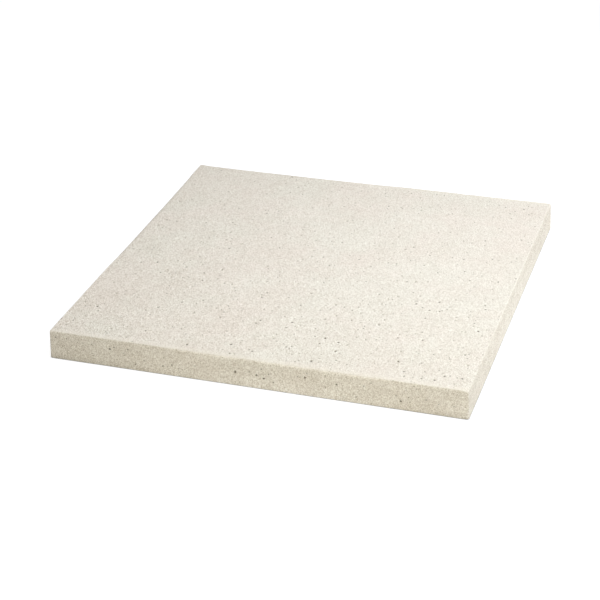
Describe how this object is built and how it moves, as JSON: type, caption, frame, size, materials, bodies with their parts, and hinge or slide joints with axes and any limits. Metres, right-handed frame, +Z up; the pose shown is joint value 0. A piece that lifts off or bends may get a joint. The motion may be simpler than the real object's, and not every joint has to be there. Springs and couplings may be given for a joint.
{
  "type": "concrete paving slab",
  "caption": "Square flat concrete paving slab with slightly drafted sides and small rounded arrises, laid on a bed to surface a path or patio.",
  "frame": {"origin": "middle of the bedding face, on the ground", "axes": "+Z up through the wearing face, +X and +Y square to the sides"},
  "size_m": [0.45, 0.45, 0.032],
  "materials": {
    "concrete": "matte"
  },
  "bodies": {
    "root": {"paving_slab": "concrete"}
  },
  "joints": []
}
